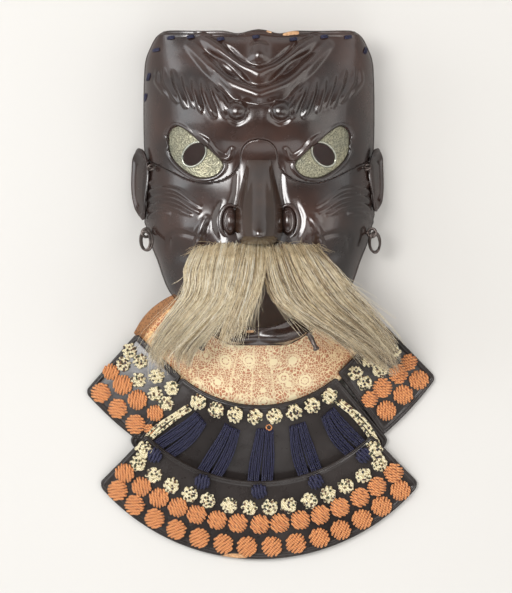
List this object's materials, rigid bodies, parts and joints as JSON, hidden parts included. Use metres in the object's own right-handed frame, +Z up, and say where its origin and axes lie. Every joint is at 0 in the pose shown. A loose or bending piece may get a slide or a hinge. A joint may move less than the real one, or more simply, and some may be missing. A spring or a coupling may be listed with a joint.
{
  "type": "samurai face guard",
  "caption": "Full-face iron war mask with a moustache, lying on its back with its laced throat guard spread below the chin.",
  "frame": {"origin": "middle of the underside of the whole part's box, on the surface that it lies on", "axes": "+X to the right of the face as a viewer sees it, +Y to the top of the head, +Z up out of the face"},
  "size_m": [0.2508, 0.3726, 0.1075],
  "materials": {
    "black_lacquer": "gloss",
    "nose_lacquer": "gloss",
    "gilt_eye": "satin",
    "iron_fitting": "satin",
    "hair": "matte",
    "printed_leather": "matte",
    "lame_lacquer": "satin",
    "orange_silk": "matte",
    "blue_silk": "matte",
    "cream_silk": "matte"
  },
  "bodies": {
    "root": {"eye_plate_left": "gilt_eye", "temple_pin_left": "iron_fitting", "ring_staple_left": "iron_fitting", "cord_ring_left": "iron_fitting", "chin_peg_left": "iron_fitting", "ear_left": "black_lacquer", "moustache_left": "hair", "upper_lame_wing_left": "lame_lacquer", "cream_lace_left": "cream_silk", "eye_plate_right": "gilt_eye", "temple_pin_right": "iron_fitting", "ring_staple_right": "iron_fitting", "cord_ring_right": "iron_fitting", "chin_peg_right": "iron_fitting", "ear_right": "black_lacquer", "moustache_right": "hair", "upper_lame_wing_right": "lame_lacquer", "cream_lace_right": "cream_silk", "brow_plate": "black_lacquer", "cheek_plate": "black_lacquer", "nose": "nose_lacquer", "throat_leather": "printed_leather", "upper_lame_centre": "lame_lacquer", "lower_lame": "lame_lacquer", "blue_lace_1": "blue_silk", "blue_lace_2": "blue_silk", "blue_lace_3": "blue_silk", "blue_lace_4": "blue_silk", "blue_lace_5": "blue_silk"}
  },
  "joints": []
}
